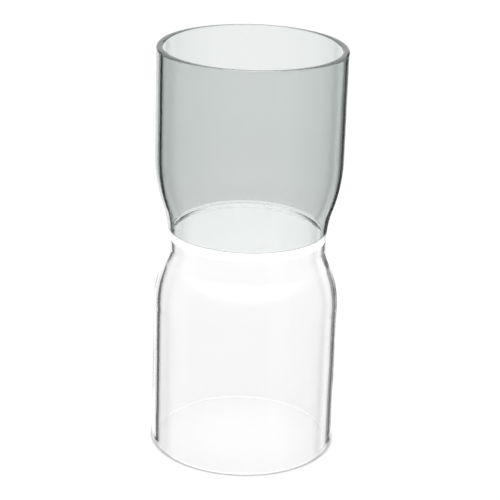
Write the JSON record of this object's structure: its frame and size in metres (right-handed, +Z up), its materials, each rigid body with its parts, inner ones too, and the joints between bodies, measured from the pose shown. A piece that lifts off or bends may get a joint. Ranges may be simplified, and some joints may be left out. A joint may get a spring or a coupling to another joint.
{
  "type": "hourglass glass vessel",
  "caption": "Free-standing hourglass vessel of blown glass: smoke-grey bowl open upwards, clear bowl open downwards, parted at the waist by a solid clear glass disc.",
  "frame": {"origin": "centre of the circle that the lower rim stands on", "axes": "+Z up along the vessel's axis of revolution; X and Y are any two directions square to it"},
  "size_m": [0.108, 0.108, 0.24],
  "materials": {
    "smoke_glass": "clear through-coloured smoke-grey glass, fire polished",
    "clear_glass": "clear colourless glass, fire polished"
  },
  "bodies": {
    "root": {"upper_bowl": "smoke_glass", "waist_disc": "clear_glass", "lower_bowl": "clear_glass"}
  },
  "joints": []
}
